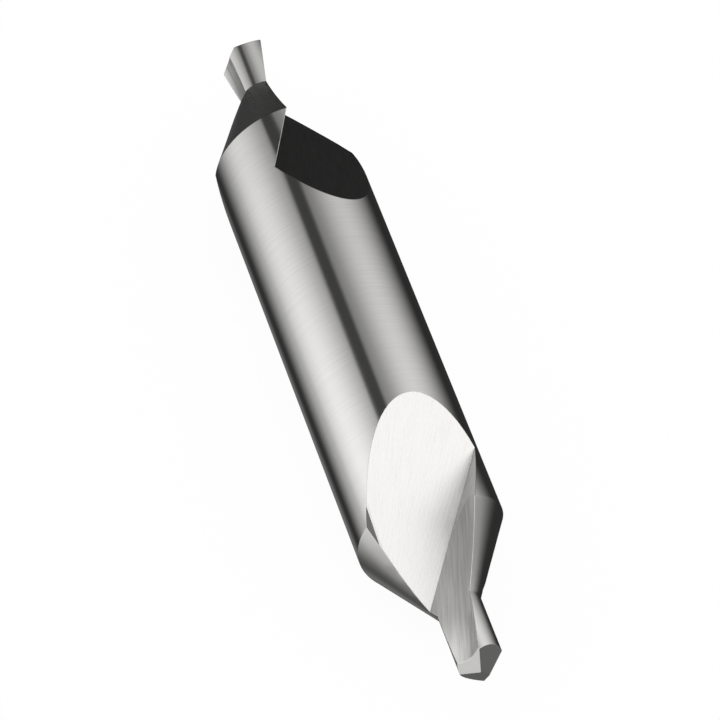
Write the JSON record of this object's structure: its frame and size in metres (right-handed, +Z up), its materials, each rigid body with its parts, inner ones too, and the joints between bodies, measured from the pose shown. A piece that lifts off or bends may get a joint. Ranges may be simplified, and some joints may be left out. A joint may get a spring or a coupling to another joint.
{
  "type": "centre drill",
  "caption": "Double-ended centre drill with a plain round body, form-relieved countersinks, helical flutes and short pilot points.",
  "frame": {"origin": "middle of the body, half way between the outer corners of the two countersinks, on the axis", "axes": "+X runs along the axis towards the front end, +Z is up with the tool lying on its side"},
  "size_m": [0.0551, 0.01, 0.01],
  "materials": {
    "tool_steel": "ground high-speed steel, bright"
  },
  "bodies": {
    "root": {"centre_drill": "tool_steel"}
  },
  "joints": []
}
